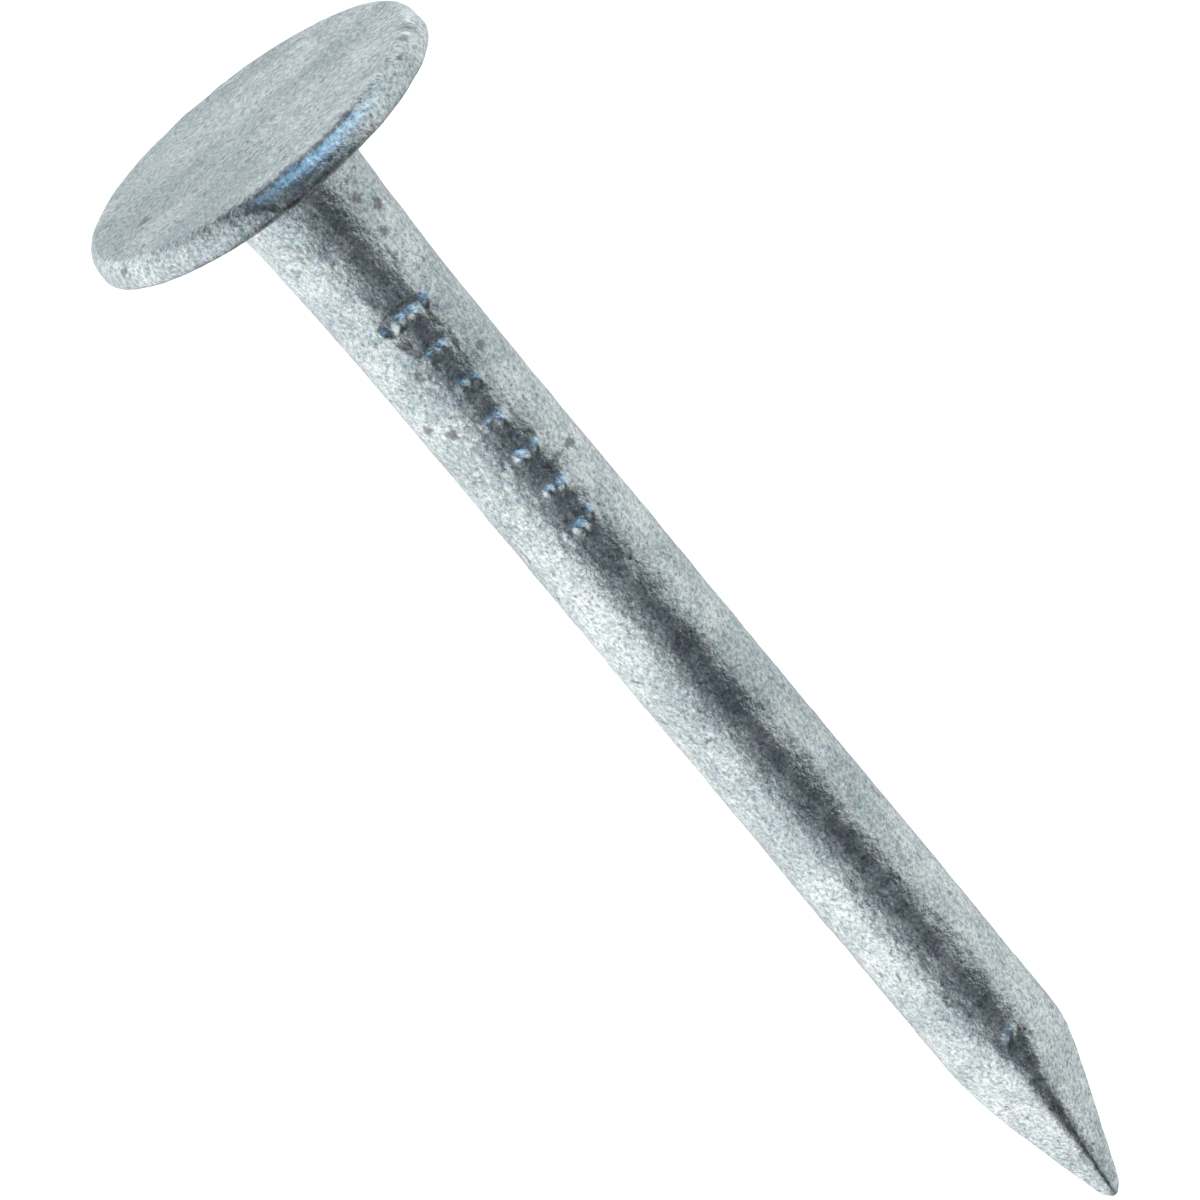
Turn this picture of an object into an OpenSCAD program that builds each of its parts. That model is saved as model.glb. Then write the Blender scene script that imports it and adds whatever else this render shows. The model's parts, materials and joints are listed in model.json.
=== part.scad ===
// Large-head nail, hot-dip galvanised: one forged piece of steel wire inside a bonded shell of zinc.
// Millimetres. The nail stands on its point: +Z runs along the shank and out of the struck face.
// The origin is the centre of the head's underside, as coated, which is the face that clamps the work.
// -Y and +Y are the sides that the gripper dies press. The point leans towards -X.

/* [Wire] */
// Diameter of the bare steel wire
wire_d = 3.05; // [2:0.05:5]
// Length from under the head to the end of the point, as coated
nail_length = 35.3; // [25:0.1:75]
// Thickness of the zinc all over the steel
zinc_t = 0.06; // [0.04:0.01:0.1]

/* [Head] */
// Diameter of the bare steel head
head_d = 9.8; // [8:0.05:14]
// Thickness of the bare steel head
head_t = 0.74; // [0.62:0.02:1.6]
// Rounding of the head's top edge
head_top_r = 0.36; // [0.1:0.01:0.4]
// Rounding of the head's under edge
head_under_r = 0.2; // [0.05:0.01:0.2]

/* [Neck] */
// How far the neck's side flares out of the wire's where it meets the head
neck_flare = 0.33; // [0.1:0.01:0.6]
// Length of the flare below the head
neck_length = 7.2; // [4:0.1:12]
// Radius of the fillet between neck and head
neck_fillet_r = 0.2; // [0.1:0.02:0.4]

/* [Gripper marks] */
// Number of marks on each pressed side
mark_count = 7; // [3:1:8]
// Distance of the first mark below the head
mark_start = 4.7; // [3:0.1:6]
// Distance from one mark to the next
mark_pitch = 1.15; // [0.9:0.05:1.5]
// Depth of a mark at its middle, in the wire
mark_depth = 0.14; // [0.06:0.01:0.2]
// Radius of the straight die tooth that presses a mark
mark_tooth_r = 0.24; // [0.2:0.01:0.4]

/* [Point] */
// Length of the point, from its end to where its ridges run out on the wire
point_length = 4.9; // [3:0.1:8]
// Radius of the steel across the ridges where they would reach the end
point_end_r = 0.19; // [0.16:0.01:0.3]
// Radius of the steel that is left flat at the end by its 45 degree bevel
tip_r = 0.08; // [0.06:0.01:0.12]
// Distance of a flat from the point's own line, as a share of the rounded ridges'
flat_share = 0.82; // [0.75:0.01:0.95]
// Distance from the wire's centre line to the end of the point
point_lean = 0.34; // [0:0.02:0.5]

/* [Hidden] */
$fn = 96;
wire_r = wire_d / 2;
head_r = head_d / 2;
// The head's steel underside is one thickness of zinc above the origin.
steel_z = zinc_t;
// Number of straight steps in a drawn quarter circle, and in the long arc of the neck
corner_steps = 8;
neck_steps = 14;
// Radius of the arc that leaves the wire's side and reaches neck_flare after neck_length
neck_arc_r = (neck_length * neck_length + neck_flare * neck_flare) / (2 * neck_flare);
// Where each mark lies below the steel underside
mark_places = [for (i = [0:mark_count - 1]) mark_start + i * mark_pitch];
// Directions, seen along the axis, that the two dies press from and that the four flats face
die_sides = [-90, 90];
flat_sides = [45, 135, 225, 315];
// Angles of a ridge and of a flat to the point's own line, and of that line to the wire's
ridge_slope = atan((wire_r - point_end_r) / point_length);
flat_slope = atan(flat_share * (wire_r - point_end_r) / point_length);
lean_angle = atan(point_lean / point_length);
// What cuts the point reaches past the wire, up past the height where the flats run out, and below the end,
// where the bevel goes on for bevel_below.
cutter_width = 4 * wire_d;
cutter_height = 2 * point_length;
cutter_below = 0.4;
bevel_below = 0.05;

// Points of an arc about a centre c, of radius r, from angle a to angle b.
function arc(c, r, a, b, steps) =
    [for (i = [0:steps]) let (t = a + (b - a) * i / steps) [c[0] + r * cos(t), c[1] + r * sin(t)]];

// The neck's concave side, from the wire up to just under the fillet, "skin" outside the steel.
function neck_side(skin) =
    let (
        centre = [wire_r + neck_arc_r, -neck_length],
        end = asin((neck_length - neck_fillet_r - skin) / (neck_arc_r - skin))
    )
    arc(centre, neck_arc_r - skin, 180, 180 - end, neck_steps);

// The fillet from the neck's side, at the radius start_r, to the head's underside.
function neck_corner(start_r, skin) =
    arc([start_r + neck_fillet_r, -skin - neck_fillet_r], neck_fillet_r, 180, 90, corner_steps);

// Half of the nail's section from the axis out, without marks or flats, "skin" outside the steel.
function half_section(skin) =
    let (
        side = neck_side(skin),
        under = head_under_r + skin,
        top = head_top_r + skin
    )
    concat(
        [[0, -nail_length - skin], [wire_r + skin, -nail_length - skin]],
        side,
        neck_corner(side[neck_steps][0], skin),
        arc([head_r - head_under_r, head_under_r], under, -90, 0, corner_steps),
        arc([head_r - head_top_r, head_t - head_top_r], top, 0, 90, corner_steps),
        [[0, head_t + skin]]
    );

// Head, neck and round wire in one turned form.
module turned_form(skin) {
    rotate_extrude() polygon(half_section(skin));
}

// What the straight die teeth press out of one side of the wire.
module pressed_marks(skin) {
    for (place = mark_places)
        translate([wire_r - mark_depth + mark_tooth_r, 0, -place])
            rotate([90, 0, 0])
                cylinder(r = mark_tooth_r - skin, h = wire_d, center = true);
}

// Puts what is made about the Z axis on the point's own line, which leans with its end.
module on_point_line() {
    translate([-point_lean, 0, -nail_length])
        rotate([0, lean_angle, 0])
            children();
}

// What lies outside one flat of the point.
module outside_flat(side, skin) {
    rotate([0, 0, side])
        rotate([0, flat_slope, 0])
            translate([flat_share * point_end_r + skin, -cutter_width / 2, -cutter_height])
                cube([cutter_width, cutter_width, 2 * cutter_height]);
}

// What lies outside the bevel at the end and the cone that the rounded ridges are parts of.
module outside_ridges(skin) {
    end_r = point_end_r + skin / cos(ridge_slope);
    bevel_r = tip_r + skin * sqrt(2);
    bevel_z = (end_r - bevel_r) / (1 - tan(ridge_slope));
    start_z = -skin - bevel_below;
    rotate_extrude()
        polygon([
            [bevel_r + start_z, start_z - cutter_below],
            [cutter_width, start_z - cutter_below],
            [cutter_width, cutter_height],
            [end_r + cutter_height * tan(ridge_slope), cutter_height],
            [bevel_r + bevel_z, bevel_z],
            [bevel_r + start_z, start_z]
        ]);
}

// The whole nail, "skin" outside the bare steel.
module nail_form(skin) {
    translate([0, 0, steel_z])
        difference() {
            turned_form(skin);
            for (side = die_sides) rotate([0, 0, side]) pressed_marks(skin);
            on_point_line() outside_ridges(skin);
            for (side = flat_sides) on_point_line() outside_flat(side, skin);
        }
}

// The forged wire: head, neck, shank and point without a seam.
module steel_nail() {
    color([0.42, 0.43, 0.45])
        nail_form(0);
}

// The closed shell of zinc that covers the steel everywhere.
module galvanised_coating() {
    color([0.72, 0.75, 0.76])
        difference() {
            nail_form(zinc_t);
            nail_form(0);
        }
}

steel_nail();
galvanised_coating();
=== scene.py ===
"""Looks for the galvanised nail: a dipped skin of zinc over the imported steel, a white studio and the camera.

Lengths are in metres, in the part's own frame: the nail stands on its point, and +Z runs out of the head.
Azimuth 0 is -Y, where the camera stands, and 90 is +X. Elevation is above the horizon.
"""

import json
import math

import bpy
import numpy as np
from mathutils import Matrix, Vector, noise


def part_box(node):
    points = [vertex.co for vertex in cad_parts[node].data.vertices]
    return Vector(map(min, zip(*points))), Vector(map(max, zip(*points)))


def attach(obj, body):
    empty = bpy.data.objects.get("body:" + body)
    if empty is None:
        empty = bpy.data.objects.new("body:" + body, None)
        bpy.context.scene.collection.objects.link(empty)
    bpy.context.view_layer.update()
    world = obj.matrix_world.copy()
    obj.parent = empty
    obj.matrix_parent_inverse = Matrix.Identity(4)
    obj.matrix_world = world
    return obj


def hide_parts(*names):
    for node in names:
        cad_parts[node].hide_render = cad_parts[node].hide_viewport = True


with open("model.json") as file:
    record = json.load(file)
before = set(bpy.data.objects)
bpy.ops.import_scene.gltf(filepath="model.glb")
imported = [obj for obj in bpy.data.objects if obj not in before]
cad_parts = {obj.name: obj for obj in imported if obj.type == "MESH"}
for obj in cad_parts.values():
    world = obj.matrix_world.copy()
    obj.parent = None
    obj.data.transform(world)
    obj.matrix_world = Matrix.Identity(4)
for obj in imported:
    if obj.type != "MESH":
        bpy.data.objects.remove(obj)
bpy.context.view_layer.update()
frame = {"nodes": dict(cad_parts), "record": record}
MM = 0.001

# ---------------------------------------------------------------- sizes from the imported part

STEEL_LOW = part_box("steel_nail")[0]
ZINC_LOW, ZINC_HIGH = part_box("galvanised_coating")
MOUNTS = {mount["name"]: mount for mount in frame["record"]["mounts"]}
SHANK_R = MOUNTS["shank"]["dims"]["r_mm"] * MM
ZINC_T = STEEL_LOW.z - ZINC_LOW.z
WIRE_R = SHANK_R - ZINC_T
HEAD_R = (ZINC_HIGH.x - ZINC_LOW.x) / 2
TIP_Z = ZINC_LOW.z
HEAD_TOP_Z = ZINC_HIGH.z

# ---------------------------------------------------------------- sizes repeated from part.scad

NECK_FLARE = 0.33 * MM
NECK_LENGTH = 7.2 * MM
NECK_FILLET_R = 0.2 * MM
HEAD_TOP_R = 0.36 * MM + ZINC_T
HEAD_UNDER_R = 0.2 * MM + ZINC_T
MARK_START = 4.7 * MM
MARK_PITCH = 1.15 * MM
MARK_DEPTH = 0.14 * MM
MARK_TOOTH_R = 0.24 * MM
POINT_LENGTH = 4.9 * MM
POINT_END_R = 0.19 * MM
POINT_BEVEL_R = 0.08 * MM
POINT_LEAN = 0.34 * MM
FLAT_SHARE = 0.82
FLAT_SIDES = (45, 135, 225, 315)

# ---------------------------------------------------------------- the zinc skin's own shape

RING_POINTS = 200
# The least zinc that the skin's rings keep outside the steel as steel_reach works it out.
LEAST_ZINC = 0.008 * MM
END_Z = STEEL_LOW.z - LEAST_ZINC
# The zinc's own ridges: where they would reach the end, and how far up they run out on the shank.
RIDGE_END_R = 0.25 * MM
RIDGE_LENGTH = 4.6 * MM
BEVEL_END_R = 0.1 * MM
# How near two surfaces of the point come before the zinc rounds the edge between them.
RIDGE_ROUNDING = 0.12 * MM
SHOULDER_ROUNDING = 0.31 * MM
GROOVE_ROUNDING = 0.08 * MM
# The gripper marks from the head down: the zinc that fills each groove, as a share of its depth,
# then the lip below it: height in mm, half of its span and turn from the die's middle in degrees.
MARKS = (
    (0.85, 0.110, 54, 2),
    (0.90, 0.064, 22, 9),
    (0.95, 0.062, 18, 8),
    (0.92, 0.066, 20, 8),
    (0.88, 0.104, 24, 7),
    (0.90, 0.090, 20, 12),
    (0.90, 0.090, 24, 6),
)
LIP_DROP = 0.24 * MM
LIP_WIDTH = 0.14 * MM
LIP_WANDER = 0.07 * MM
# How fast a lip wanders and breaks: radians for a degree round the nail and for a mm along it.
LIP_WANDER_RATES = (0.21, 5)
LIP_BREAK_RATES = (0.37, 3)
# A broken lip's height, as a share of the table's: its middle value and the swing about it.
LIP_SHARE = 0.7
LIP_SWING = 0.5
# Single burrs and dents: height up the nail in mm, angle in degrees, how far it stands out in mm,
# half of its length round the nail and of its width in mm, and its slant in degrees.
SHANK_SCARS = (
    (-29.35, -83, 0.080, 0.24, 0.14, 25),
    (-29.70, -84, -0.050, 0.24, 0.13, 25),
    (-2.10, -138, -0.052, 0.60, 0.10, -42),
    (-1.70, -132, 0.050, 0.50, 0.14, -42),
    (-5.05, -128, -0.050, 0.50, 0.11, 0),
    (-6.60, -132, -0.050, 0.40, 0.14, 10),
)
# Rows of dark spots that paint the shade of the scratch across the head's edge and of the bar beside the fifth
# mark: painted shade.
# The two ends and the spots' radius in mm, and how many spots.
SHADE_SPOT_ROWS = (
    ((-1.35, -4.83, 0.72), (-0.10, -5.01, 0.00), 0.15, 14),
    ((0.40, -1.53, -10.03), (1.22, -1.01, -10.12), 0.15, 8),
)
# Dark spots that paint the shade of dents and scratches on the shank, neck and head: painted shade. Place and
# radius, all in mm.
SHADE_SPOTS = (
    (-0.41, -1.53, -5.43, 0.22),
    (-0.65, -1.45, -6.29, 0.19),
    (0.96, -1.26, -6.70, 0.18),
    (-1.30, -0.90, -7.65, 0.20),
    (-0.90, -1.30, -8.00, 0.21),
    (0.60, -1.47, -9.15, 0.17),
    (1.28, -1.15, -2.35, 0.23),
    (0.98, -1.44, -1.80, 0.20),
    (0.96, -1.39, -2.90, 0.18),
    (4.60, -1.70, 0.78, 0.34),
    (4.30, -2.20, 0.82, 0.28),
    (-3.30, -0.60, 0.90, 0.26),
)
# The head's edge, as (waves round the head, size, angle in degrees).
HEAD_WAVES = ((1, 0.036, 180), (2, 0.036, 85), (3, 0.012, 20), (5, 0.008, 140), (7, 0.005, 250))
# How much the zinc lowers the head's +X side and raises the other, and how its edge leans outward below.
HEAD_TILT = 0.07 * MM
RIM_LEAN = 0.015 * MM
RIM_LEAN_HEIGHT = 0.2 * MM
# How much of the zinc has run off the neck near the head, and between which heights that sets in.
NECK_RUN = 0.045 * MM
NECK_RUN_FROM = -5 * MM
NECK_RUN_FULL = -1 * MM
# Where things set in on the head, from none to all of it, as shares of its radius.
EDGE_SETS_IN = (0.55, 1.0)
TILT_SETS_IN = (0.4, 0.6)
NECK_RUN_SETS_IN = (0.55, 0.38)
# Lumps of run and frozen zinc: thickness in mm, how many in a mm across and along, shift in x and y.
LUMPS = (
    (0.012, 0.5, 0.22, 0, 0),
    (0.015, 1.6, 1.2, 7, 0),
    (0.012, 4.2, 2.4, 0, 3),
)
# Stands for a surface that a direction from a ring's centre never meets, in metres.
FAR = 1.0
# The least cosine at which a flat, and a groove, counts as met.
LEAST_FLAT_COSINE = 0.1
LEAST_GROOVE_COSINE = 0.2


def direction(azimuth, elevation):
    """Unit vector towards that azimuth and elevation, in degrees."""
    a = math.radians(azimuth)
    e = math.radians(elevation)
    return Vector((math.sin(a) * math.cos(e), -math.cos(a) * math.cos(e), math.sin(e)))


def smooth_step(low, high, value):
    """0 below low, 1 above high, and smooth between them."""
    t = np.clip((value - low) / (high - low), 0, 1)
    return t * t * (3 - 2 * t)


def smooth_min(a, b, reach):
    """The lower of a and b, rounded where they are closer than reach."""
    near = np.maximum(reach - np.abs(a - b), 0) / reach
    return np.minimum(a, b) - near * near * reach / 4


def arc(centre, radius, start, end, steps):
    """Points (r, z) of an arc of the section, from angle start to end in degrees."""
    angles = np.radians(np.linspace(start, end, steps + 1))
    return [(centre[0] + radius * math.cos(a), centre[1] + radius * math.sin(a)) for a in angles]


def neck_radius(z, skin):
    """Radius of the wire and neck at the heights z, skin outside the steel."""
    arc_r = (NECK_LENGTH ** 2 + NECK_FLARE ** 2) / (2 * NECK_FLARE)
    centre_z = ZINC_T - NECK_LENGTH
    rise = np.clip(z - centre_z, 0, None)
    return WIRE_R + arc_r - np.sqrt((arc_r - skin) ** 2 - rise ** 2)


def line_x(z):
    """x of the point's own line, which leans towards -X at the end."""
    return -POINT_LEAN * (1 - (z - STEEL_LOW.z) / POINT_LENGTH)


def centre_x(z):
    """x of the rings' centres: on the point's line, then on the nail's axis."""
    return np.minimum(line_x(z), 0)


def reach_to_round(z, angle, x, radius):
    """Distance from a ring's centre to a circle of that radius about x."""
    offset = x - centre_x(z)
    across = offset * np.sin(angle)
    return offset * np.cos(angle) + np.sqrt(np.maximum(radius ** 2 - across ** 2, 0))


def reach_to_flat(z, angle, side, away):
    """Distance from a ring's centre to a flat that faces side, away from the point's line."""
    facing = math.radians(side)
    across = np.cos(angle - facing)
    offset = (line_x(z) - centre_x(z)) * math.cos(facing)
    reach = (away + offset) / np.maximum(across, LEAST_FLAT_COSINE)
    return np.where(across > LEAST_FLAT_COSINE, reach, FAR)


def mark_heights():
    """Heights of the middles of the grooves."""
    return [ZINC_T - MARK_START - MARK_PITCH * i for i in range(len(MARKS))]


def groove_cut(z, angle, skin, fills):
    """Distance from the axis to the grooves that the straight teeth press, or FAR away from them."""
    tooth_y = WIRE_R - MARK_DEPTH + MARK_TOOTH_R
    cut = np.full(np.broadcast(z, angle).shape, FAR)
    for height, fill in zip(mark_heights(), fills):
        inside = np.clip((MARK_TOOTH_R - skin) ** 2 - (z - height) ** 2, 0, None)
        bottom = tooth_y - np.sqrt(inside) + fill * MARK_DEPTH
        reach = bottom / np.maximum(np.abs(np.sin(angle)), LEAST_GROOVE_COSINE)
        cut = np.where(inside > 0, np.minimum(cut, reach), cut)
    return cut


def steel_reach(z, angle):
    """Distance from a ring's centre to the bare steel, a close estimate where the point leans."""
    height = np.maximum(z - STEEL_LOW.z, 0)
    slope = (WIRE_R - POINT_END_R) / POINT_LENGTH
    # The point's line leans, which takes its ridges and flats further out on the +X side.
    leaning = 1 + slope * POINT_LEAN / POINT_LENGTH * np.maximum(np.cos(angle), 0)
    ridge = (POINT_END_R + slope * height) * leaning
    bevel = POINT_BEVEL_R + height
    reach = reach_to_round(z, angle, 0, neck_radius(z, 0))
    reach = np.minimum(reach, reach_to_round(z, angle, line_x(z), ridge))
    reach = np.minimum(reach, reach_to_round(z, angle, line_x(z), bevel))
    for side in FLAT_SIDES:
        reach = np.minimum(reach, reach_to_flat(z, angle, side, FLAT_SHARE * ridge))
    return np.minimum(reach, groove_cut(z, angle, 0, [0] * len(MARKS)))


def turn_from(angle, middle):
    """Degrees from the middle direction, from -180 to 180."""
    return np.degrees(np.angle(np.exp(1j * (angle - math.radians(middle)))))


def rippled(off, height, rates):
    """Sine that runs round the nail with the degrees off, different at each height."""
    return np.sin(off * rates[0] + height / MM * rates[1])


def lips(z, angle):
    """Height of the ridges that the teeth push up on the point's side of each groove."""
    total = np.zeros(np.broadcast(z, angle).shape)
    for side in (-90, 90):
        for height, (_, lip, span, turn) in zip(mark_heights(), MARKS):
            off = turn_from(angle, side + turn)
            wander = LIP_WANDER * rippled(off, height, LIP_WANDER_RATES)
            broken = LIP_SHARE + LIP_SWING * rippled(off, height, LIP_BREAK_RATES)
            across = np.exp(-(((z - height + LIP_DROP - wander) / LIP_WIDTH) ** 2))
            along = smooth_step(span, span * 0.4, np.abs(off))
            total += lip * MM * across * along * broken
    return total


def scars(z, angle):
    """Height of the single burrs and dents on the shank and point."""
    total = np.zeros(np.broadcast(z, angle).shape)
    for at_z, at_angle, height, half_length, half_width, slant in SHANK_SCARS:
        along = np.radians(turn_from(angle, at_angle)) * SHANK_R
        up = z - at_z * MM - math.tan(math.radians(slant)) * along
        faded = (along / (half_length * MM)) ** 2 + (up / (half_width * MM)) ** 2
        total += height * MM * np.exp(-faded)
    return total


def shank_reach(z, angle):
    """Distance from a ring's centre to the zinc of the point, shank and neck, before its lumps."""
    height = z - END_Z
    ridge = RIDGE_END_R + (SHANK_R - RIDGE_END_R) * height / RIDGE_LENGTH
    point = reach_to_round(z, angle, line_x(z), ridge)
    for side in FLAT_SIDES:
        point = smooth_min(point, reach_to_flat(z, angle, side, FLAT_SHARE * ridge), RIDGE_ROUNDING)
    bevel = reach_to_round(z, angle, line_x(z), BEVEL_END_R + height)
    point = smooth_min(point, bevel, RIDGE_ROUNDING)
    reach = smooth_min(reach_to_round(z, angle, 0, neck_radius(z, ZINC_T)), point, SHOULDER_ROUNDING)
    fills = [mark[0] for mark in MARKS]
    reach = smooth_min(reach, groove_cut(z, angle, ZINC_T, fills), GROOVE_ROUNDING)
    run = NECK_RUN * smooth_step(NECK_RUN_FROM, NECK_RUN_FULL, z)
    return reach - run + lips(z, angle) + scars(z, angle)


def shank_heights():
    """Heights of the rings from the point's end to the neck's fillet, closest where there is detail."""
    end_high = END_Z + 0.5 * MM
    point_high = END_Z + 7 * MM
    marks_low = mark_heights()[-1] - 0.8 * MM
    marks_high = mark_heights()[0] + 0.6 * MM
    bands = (
        (END_Z, end_high, 15),
        (end_high, point_high, 95),
        (point_high, marks_low, 90),
        (marks_low, marks_high, 152),
        (marks_high, -NECK_FILLET_R, 50),
    )
    rings = [np.linspace(low, high, count, endpoint=False) for low, high, count in bands]
    return np.concatenate(rings)


def head_section():
    """Section of the coated head, from the neck's fillet round to the centre of the top."""
    start_r = float(neck_radius(np.array(-NECK_FILLET_R), ZINC_T))
    ring_r = start_r + NECK_FILLET_R
    edge_r = HEAD_R - HEAD_UNDER_R
    flat_r = HEAD_R - HEAD_TOP_R
    under = [(r, 0.0) for r in np.linspace(ring_r, edge_r, 18)[1:-1]]
    top = [(r, HEAD_TOP_Z) for r in np.linspace(flat_r, 0, 30)[1:-1]]
    wall_low = HEAD_UNDER_R
    wall_high = HEAD_TOP_Z - HEAD_TOP_R
    wall = [(HEAD_R, z) for z in np.linspace(wall_low, wall_high, 5)[1:-1]]
    return np.array(
        arc((ring_r, -NECK_FILLET_R), NECK_FILLET_R, 180, 90, 8)
        + under
        + arc((edge_r, wall_low), HEAD_UNDER_R, -90, 0, 7)
        + wall
        + arc((flat_r, wall_high), HEAD_TOP_R, 0, 90, 10)
        + top
    )


def section_normals(section):
    """Outward unit normals (r, z) of the head's section."""
    step = np.gradient(section, axis=0)
    normal = np.stack([step[:, 1], -step[:, 0]], axis=1)
    return normal / np.linalg.norm(normal, axis=1, keepdims=True)


def lumps(point):
    """Thickness that the run and frozen zinc adds at a point, in metres."""
    p = point / MM
    total = 0
    for size, across, along, shift_x, shift_y in LUMPS:
        place = Vector((p.x * across + shift_x, p.y * across + shift_y, p.z * along))
        total += size * noise.noise(place)
    return total * MM


def skin_points():
    """Vertices of every ring of the zinc skin, from the point's end to the centre of the head's top."""
    angle = np.linspace(0, 2 * math.pi, RING_POINTS, endpoint=False)[None, :]
    z = shank_heights()[:, None]
    reach = shank_reach(z, angle)
    shank = np.stack([centre_x(z) + reach * np.cos(angle), reach * np.sin(angle), z + 0 * angle], axis=-1)
    section = head_section()
    radius = section[:, :1]
    head = np.stack([radius * np.cos(angle), radius * np.sin(angle), section[:, 1:] + 0 * angle], axis=-1)
    return np.concatenate([shank, head])


def head_swell(section, normals, angle):
    """Zinc that the head's uneven edge, its tilt and its leaning rim add along the section's normals."""
    share = section[:, :1] / HEAD_R
    edge = smooth_step(*EDGE_SETS_IN, share)
    waves = 0
    for count, size, at in HEAD_WAVES:
        waves = waves + size * MM * np.cos(count * (angle - math.radians(at)))
    below = np.clip((HEAD_TOP_Z / 2 - section[:, 1:]) / RIM_LEAN_HEIGHT, -1, 1)
    outward = edge * (waves + RIM_LEAN * below)
    upward = -HEAD_TILT * share * np.cos(angle) * smooth_step(*TILT_SETS_IN, share)
    return outward * normals[:, :1] + upward * normals[:, 1:]


def place_skin():
    """Vertices of every ring with the lumps and swells added, held outside the steel's estimate."""
    rings = skin_points()
    heights = shank_heights()
    count = len(heights)
    angle = np.linspace(0, 2 * math.pi, RING_POINTS, endpoint=False)
    section = head_section()
    head_normals = section_normals(section)
    normals = np.concatenate([np.tile([1.0, 0.0], (count, 1)), head_normals])
    thick = np.array([[lumps(Vector(p)) for p in ring] for ring in rings])
    steel = steel_reach(heights[:, None], angle[None, :]) + LEAST_ZINC
    centre = centre_x(heights)[:, None]
    reach = np.hypot(rings[:count, :, 0] - centre, rings[:count, :, 1])
    inset = np.maximum(steel, reach + thick[:count]) - reach
    swell = head_swell(section, head_normals, angle[None, :]) + thick[count:]
    near_neck = smooth_step(*NECK_RUN_SETS_IN, section[:, :1] / HEAD_R)
    swell -= NECK_RUN * near_neck * (section[:, 1:] < HEAD_TOP_Z / 2)
    thick = np.concatenate([inset, np.maximum(swell, LEAST_ZINC - ZINC_T)])
    away = np.stack([np.cos(angle), np.sin(angle)], axis=-1)
    rings[:, :, 0] += thick * normals[:, :1] * away[:, 0]
    rings[:, :, 1] += thick * normals[:, :1] * away[:, 1]
    rings[:, :, 2] += thick * normals[:, 1:]
    return rings


def ring_faces(ring_count):
    """Faces between the rings, closed at the two ends, where vertex 0 is the low end's middle."""
    last = 1 + ring_count * RING_POINTS
    top = last - RING_POINTS
    faces = []
    for j in range(RING_POINTS):
        k = (j + 1) % RING_POINTS
        faces.append((0, 1 + k, 1 + j))
        faces.append((last, top + j, top + k))
    for i in range(ring_count - 1):
        a = 1 + i * RING_POINTS
        b = a + RING_POINTS
        for j in range(RING_POINTS):
            k = (j + 1) % RING_POINTS
            faces.append((a + j, a + k, b + k, b + j))
    return faces


def build_skin():
    """The zinc as one closed mesh of rings."""
    rings = place_skin()
    low_pole = [line_x(END_Z), 0.0, END_Z]
    high_pole = [0.0, 0.0, rings[-1, :, 2].mean()]
    vertices = [low_pole] + rings.reshape(-1, 3).tolist() + [high_pole]
    mesh = bpy.data.meshes.new("galvanised_skin")
    mesh.from_pydata(vertices, [], ring_faces(len(rings)))
    mesh.shade_smooth()
    skin = bpy.data.objects.new("galvanised_skin", mesh)
    bpy.context.scene.collection.objects.link(skin)
    return skin


# ---------------------------------------------------------------- materials


# Zinc that is bright, cloudy and mottled, the dull pits in it, and the dark spots that paint shade.
BRIGHT_ZINC = (0.78, 0.82, 0.82, 1)
CLOUDY_ZINC = (0.56, 0.62, 0.63, 1)
MOTTLED_ZINC = (0.38, 0.43, 0.47, 1)
PITTED_ZINC = (0.16, 0.16, 0.17, 1)
SHADE_SPOT_ZINC = (0.13, 0.125, 0.12, 1)
# How far in mm the noise drags a spot's edge about, from one side to the other.
SPOT_DRAG = 0.35


def new_material(name):
    """A node material, with its node tree and its Principled shader."""
    material = bpy.data.materials.new(name)
    material.use_nodes = True
    tree = material.node_tree
    return material, tree, tree.nodes["Principled BSDF"]


def add_node(tree, kind, inputs=None, **settings):
    """A node with its settings, whose inputs are given as values or as sockets to link."""
    node = tree.nodes.new(kind)
    for name, value in settings.items():
        setattr(node, name, value)
    for name, value in (inputs or {}).items():
        if isinstance(value, bpy.types.NodeSocket):
            tree.links.new(value, node.inputs[name])
        else:
            node.inputs[name].default_value = value
    return node


def vector_maths(tree, operation, *values):
    """A vector maths node whose inputs are given in order, as values or as sockets to link."""
    node = tree.nodes.new("ShaderNodeVectorMath")
    node.operation = operation
    for socket, value in zip(node.inputs, values):
        if isinstance(value, bpy.types.NodeSocket):
            tree.links.new(value, socket)
        else:
            socket.default_value = value
    return node


def object_mm(tree, stretch=(1, 1, 1)):
    """Object coordinates in millimetres, stretched by that much along each axis."""
    coordinates = add_node(tree, "ShaderNodeTexCoord")
    scale = tuple(1 / (MM * s) for s in stretch)
    mapping = add_node(tree, "ShaderNodeMapping", {"Vector": coordinates.outputs["Object"], "Scale": scale})
    return mapping.outputs["Vector"]


def noise_node(tree, vector, scale, detail, roughness=0.5):
    """Noise of that many features a millimetre."""
    inputs = {"Vector": vector, "Scale": scale, "Detail": detail, "Roughness": roughness}
    return add_node(tree, "ShaderNodeTexNoise", inputs)


def noise_value(tree, vector, scale, detail, roughness=0.5):
    """Noise of that many features a millimetre, as a value round 0.5."""
    return noise_node(tree, vector, scale, detail, roughness).outputs["Fac"]


def map_range(tree, value, low, high, to_low, to_high):
    """The value moved from the range low to high into the range to_low to to_high."""
    made = add_node(
        tree,
        "ShaderNodeMapRange",
        {"Value": value, "From Min": low, "From Max": high, "To Min": to_low, "To Max": to_high},
    )
    return made.outputs["Result"]


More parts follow.
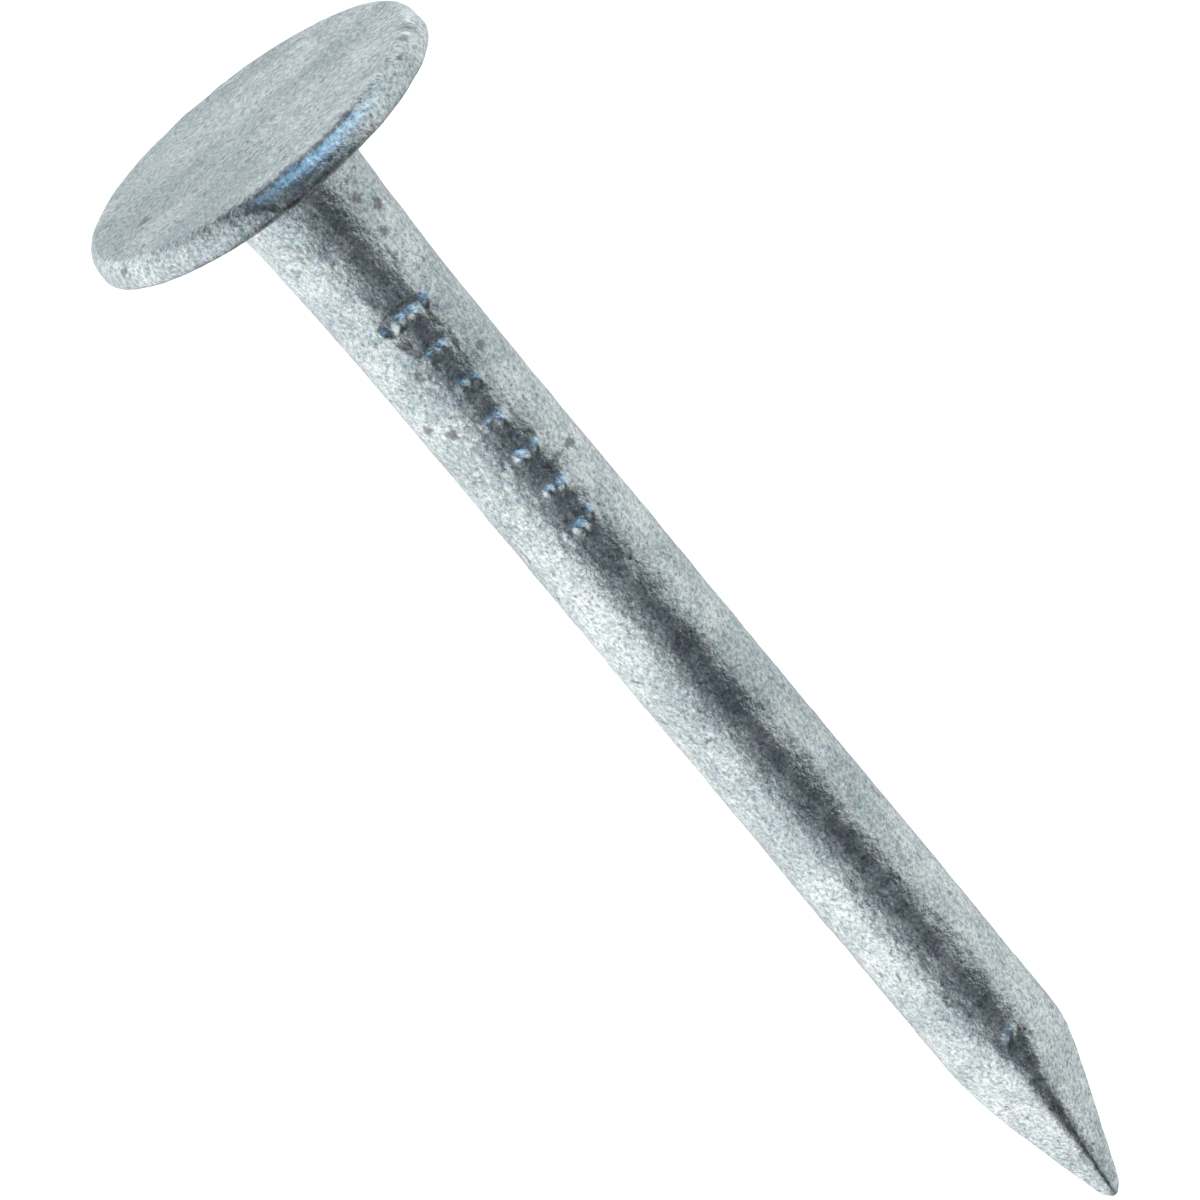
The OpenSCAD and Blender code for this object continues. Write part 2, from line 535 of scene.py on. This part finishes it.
def mix_colours(tree, factor, first, second, blend="MIX"):
    """The first colour mixed with the second by that factor: colours are values or sockets."""
    made = tree.nodes.new("ShaderNodeMix")
    made.data_type = "RGBA"
    made.blend_type = blend
    sockets = {s.identifier: s for s in made.inputs}
    for name, value in (("Factor_Float", factor), ("A_Color", first), ("B_Color", second)):
        if isinstance(value, bpy.types.NodeSocket):
            tree.links.new(value, sockets[name])
        else:
            sockets[name].default_value = value
    return next(s for s in made.outputs if s.identifier == "Result_Color")


def row_shade_spots():
    """The spots of painted shade in every row, from one end to the other."""
    spots = []
    for start, end, radius, count in SHADE_SPOT_ROWS:
        for i in range(count):
            place = Vector(start).lerp(Vector(end), i / (count - 1))
            spots.append((*place, radius))
    return spots


def shade_spot_share(tree, vector):
    """1 in the middle of each spot of painted shade and 0 away from them."""
    total = None
    for x, y, z, radius in (*SHADE_SPOTS, *row_shade_spots()):
        away = vector_maths(tree, "DISTANCE", vector, (x, y, z))
        share = map_range(tree, away.outputs["Value"], radius * 0.4, radius, 1, 0)
        if total is None:
            total = share
        else:
            both = add_node(tree, "ShaderNodeMath", operation="MAXIMUM")
            tree.links.new(total, both.inputs[0])
            tree.links.new(share, both.inputs[1])
            total = both.outputs[0]
    return total


def zinc_material():
    """Hot-dip zinc: cool grey, satin, speckled and mottled all over, with small dull pits, and dark spots of
    painted shade.
    """
    material, tree, shader = new_material("dipped_zinc")
    round_mm = object_mm(tree)
    clouds = noise_value(tree, object_mm(tree, (2.2, 1, 1)), 0.55, 2)
    mottle = noise_value(tree, round_mm, 2.0, 3, 0.6)
    grain = noise_value(tree, round_mm, 9.0, 3, 0.8)
    dimples = noise_value(tree, round_mm, 11.0, 2, 0.6)
    tint = noise_node(tree, round_mm, 9.0, 1).outputs["Color"]
    drag = noise_node(tree, round_mm, 5.0, 2).outputs["Color"]
    dragged = vector_maths(tree, "MULTIPLY_ADD", drag, (SPOT_DRAG,) * 3, round_mm)
    centred = vector_maths(tree, "SUBTRACT", dragged.outputs["Vector"], (SPOT_DRAG / 2,) * 3)
    # Painted shade: dark spots where dents, scratches and the bar beside the fifth mark show shade.
    spots = shade_spot_share(tree, centred.outputs["Vector"])
    pits = noise_value(tree, round_mm, 2.6, 3, 0.6)
    pale = map_range(tree, clouds, 0.4, 0.6, 0, 1)
    mottled = map_range(tree, mottle, 0.35, 0.6, 0.45, 0)
    grained = map_range(tree, grain, 0.3, 0.7, 0.43, 1.55)
    pitted = map_range(tree, pits, 0.30, 0.35, 0.7, 0)
    painted_shade = map_range(tree, spots, 0, 1, 0, 0.75)
    colour = mix_colours(tree, pale, CLOUDY_ZINC, BRIGHT_ZINC)
    colour = mix_colours(tree, mottled, colour, MOTTLED_ZINC)
    colour = mix_colours(tree, 1.0, colour, grained, "MULTIPLY")
    colour = mix_colours(tree, 0.32, colour, tint, "OVERLAY")
    colour = mix_colours(tree, pitted, colour, PITTED_ZINC)
    colour = mix_colours(tree, painted_shade, colour, SHADE_SPOT_ZINC)
    tree.links.new(colour, shader.inputs["Base Color"])
    shader.inputs["Metallic"].default_value = 1.0
    tree.links.new(map_range(tree, mottle, 0.3, 0.7, 0.28, 0.40), shader.inputs["Roughness"])
    soft = add_node(tree, "ShaderNodeBump", {"Height": mottle, "Strength": 1.0, "Distance": 0.055 * MM})
    fine = add_node(
        tree,
        "ShaderNodeBump",
        {"Height": dimples, "Strength": 1.0, "Distance": 0.016 * MM, "Normal": soft.outputs["Normal"]},
    )
    tree.links.new(fine.outputs["Normal"], shader.inputs["Normal"])
    return material


def steel_material():
    """Drawn and forged steel wire, dull grey with fine lines along it."""
    material, tree, shader = new_material("forged_steel")
    drawn_mm = object_mm(tree, (1, 1, 20))
    lines = noise_value(tree, drawn_mm, 9.0, 3)
    colour = mix_colours(tree, lines, (0.34, 0.35, 0.37, 1), (0.50, 0.51, 0.53, 1))
    tree.links.new(colour, shader.inputs["Base Color"])
    shader.inputs["Metallic"].default_value = 1.0
    tree.links.new(map_range(tree, lines, 0.3, 0.7, 0.35, 0.55), shader.inputs["Roughness"])
    bump = add_node(tree, "ShaderNodeBump", {"Height": lines, "Strength": 0.5, "Distance": 0.01 * MM})
    tree.links.new(bump.outputs["Normal"], shader.inputs["Normal"])
    return material


# ---------------------------------------------------------------- studio

# Soft lights round the nail: azimuth, elevation, angle of the even middle, angle where it ends, colour.
SOFTBOXES = (
    (-98, 0, 30, 78, (1.06, 1.08, 1.08)),
    (98, 0, 38, 74, (0.70, 0.73, 0.73)),
    (-30, -22, 5, 40, (0.25, 0.27, 0.29)),
    (180, 25, 15, 55, (0.66, 0.70, 0.71)),
    (180, -45, 20, 54, (0.30, 0.31, 0.31)),
    (30, 44, 14, 45, (0.33, 0.60, 0.88)),
)
DARK = (0.045, 0.047, 0.054)
WHITE = (1.0, 1.0, 1.0)
# Half of the floor's side, in metres.
FLOOR_HALF = 3.0


def build_world():
    """A light tent: softboxes all round, dark between them, and plain white behind the nail."""
    world = bpy.data.worlds.new("light_tent")
    bpy.context.scene.world = world
    world.use_nodes = True
    tree = world.node_tree
    tree.nodes.clear()
    toward = add_node(tree, "ShaderNodeTexCoord").outputs["Generated"]
    total = DARK
    for azimuth, elevation, inner, outer, colour in SOFTBOXES:
        near = vector_maths(tree, "DOT_PRODUCT", toward, direction(azimuth, elevation))
        share = add_node(
            tree,
            "ShaderNodeMapRange",
            {
                "Value": near.outputs["Value"],
                "From Min": math.cos(math.radians(outer)),
                "From Max": math.cos(math.radians(inner)),
            },
            interpolation_type="SMOOTHSTEP",
        )
        lit = vector_maths(tree, "MULTIPLY_ADD", share.outputs["Result"], colour, total)
        total = lit.outputs["Vector"]
    tent = add_node(tree, "ShaderNodeBackground", {"Color": total, "Strength": 1.0})
    plain = add_node(tree, "ShaderNodeBackground", {"Color": (*WHITE, 1), "Strength": 1.0})
    seen = add_node(tree, "ShaderNodeLightPath").outputs["Is Camera Ray"]
    mixed = add_node(tree, "ShaderNodeMixShader", {0: seen})
    tree.links.new(tent.outputs[0], mixed.inputs[1])
    tree.links.new(plain.outputs[0], mixed.inputs[2])
    out = add_node(tree, "ShaderNodeOutputWorld")
    tree.links.new(mixed.outputs[0], out.inputs["Surface"])


def build_floor():
    """A pale floor under the point, lit evenly from inside like a light table, that only the camera sees."""
    mesh = bpy.data.meshes.new("floor")
    signs = ((-1, -1), (1, -1), (1, 1), (-1, 1))
    corners = [(x * FLOOR_HALF, y * FLOOR_HALF, TIP_Z) for x, y in signs]
    mesh.from_pydata(corners, [], [(0, 1, 2, 3)])
    floor = bpy.data.objects.new("floor", mesh)
    bpy.context.scene.collection.objects.link(floor)
    material, tree, shader = new_material("pale_floor")
    shader.inputs["Base Color"].default_value = (0.8, 0.8, 0.8, 1)
    shader.inputs["Roughness"].default_value = 0.9
    shader.inputs["Emission Color"].default_value = (*WHITE, 1)
    shader.inputs["Emission Strength"].default_value = 0.85
    mesh.materials.append(material)
    floor.visible_glossy = False
    floor.visible_diffuse = False
    floor.visible_transmission = False
    floor.visible_shadow = False
    return floor


# ---------------------------------------------------------------- camera

CAMERA_ELEVATION = 19.41
CAMERA_ROLL = 39.82
CAMERA_DISTANCE = 222 * MM
# What the middle of the picture shows, in the part's frame, and how wide the picture is there.
CAMERA_AIM = Vector((-0.729, 1.059, -14.496)) * MM
CAMERA_WIDTH = 29.66 * MM


def build_camera():
    """The camera at the photograph's viewing angle, rolled so that the head is at the upper left."""
    back = direction(0, CAMERA_ELEVATION)
    level_right = Vector((1, 0, 0))
    level_up = back.cross(level_right)
    roll = math.radians(CAMERA_ROLL)
    right = level_right * math.cos(roll) - level_up * math.sin(roll)
    up = level_right * math.sin(roll) + level_up * math.cos(roll)
    data = bpy.data.cameras.new("camera")
    camera = bpy.data.objects.new("camera", data)
    bpy.context.scene.collection.objects.link(camera)
    placed = Matrix((right, up, back)).transposed().to_4x4()
    placed.translation = CAMERA_AIM + back * CAMERA_DISTANCE
    camera.matrix_world = placed
    data.lens = data.sensor_width * CAMERA_DISTANCE / CAMERA_WIDTH
    data.clip_start = 0.01
    data.clip_end = 10
    bpy.context.scene.camera = camera


bpy.context.scene.view_settings.view_transform = "Standard"
build_world()
build_floor()
build_camera()

zinc = zinc_material()
galvanised_skin = build_skin()
galvanised_skin.data.materials.append(zinc)
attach(galvanised_skin, "root")
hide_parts("galvanised_coating")

steel_nail = frame["nodes"]["steel_nail"]
steel_nail.data.materials.clear()
steel_nail.data.materials.append(steel_material())
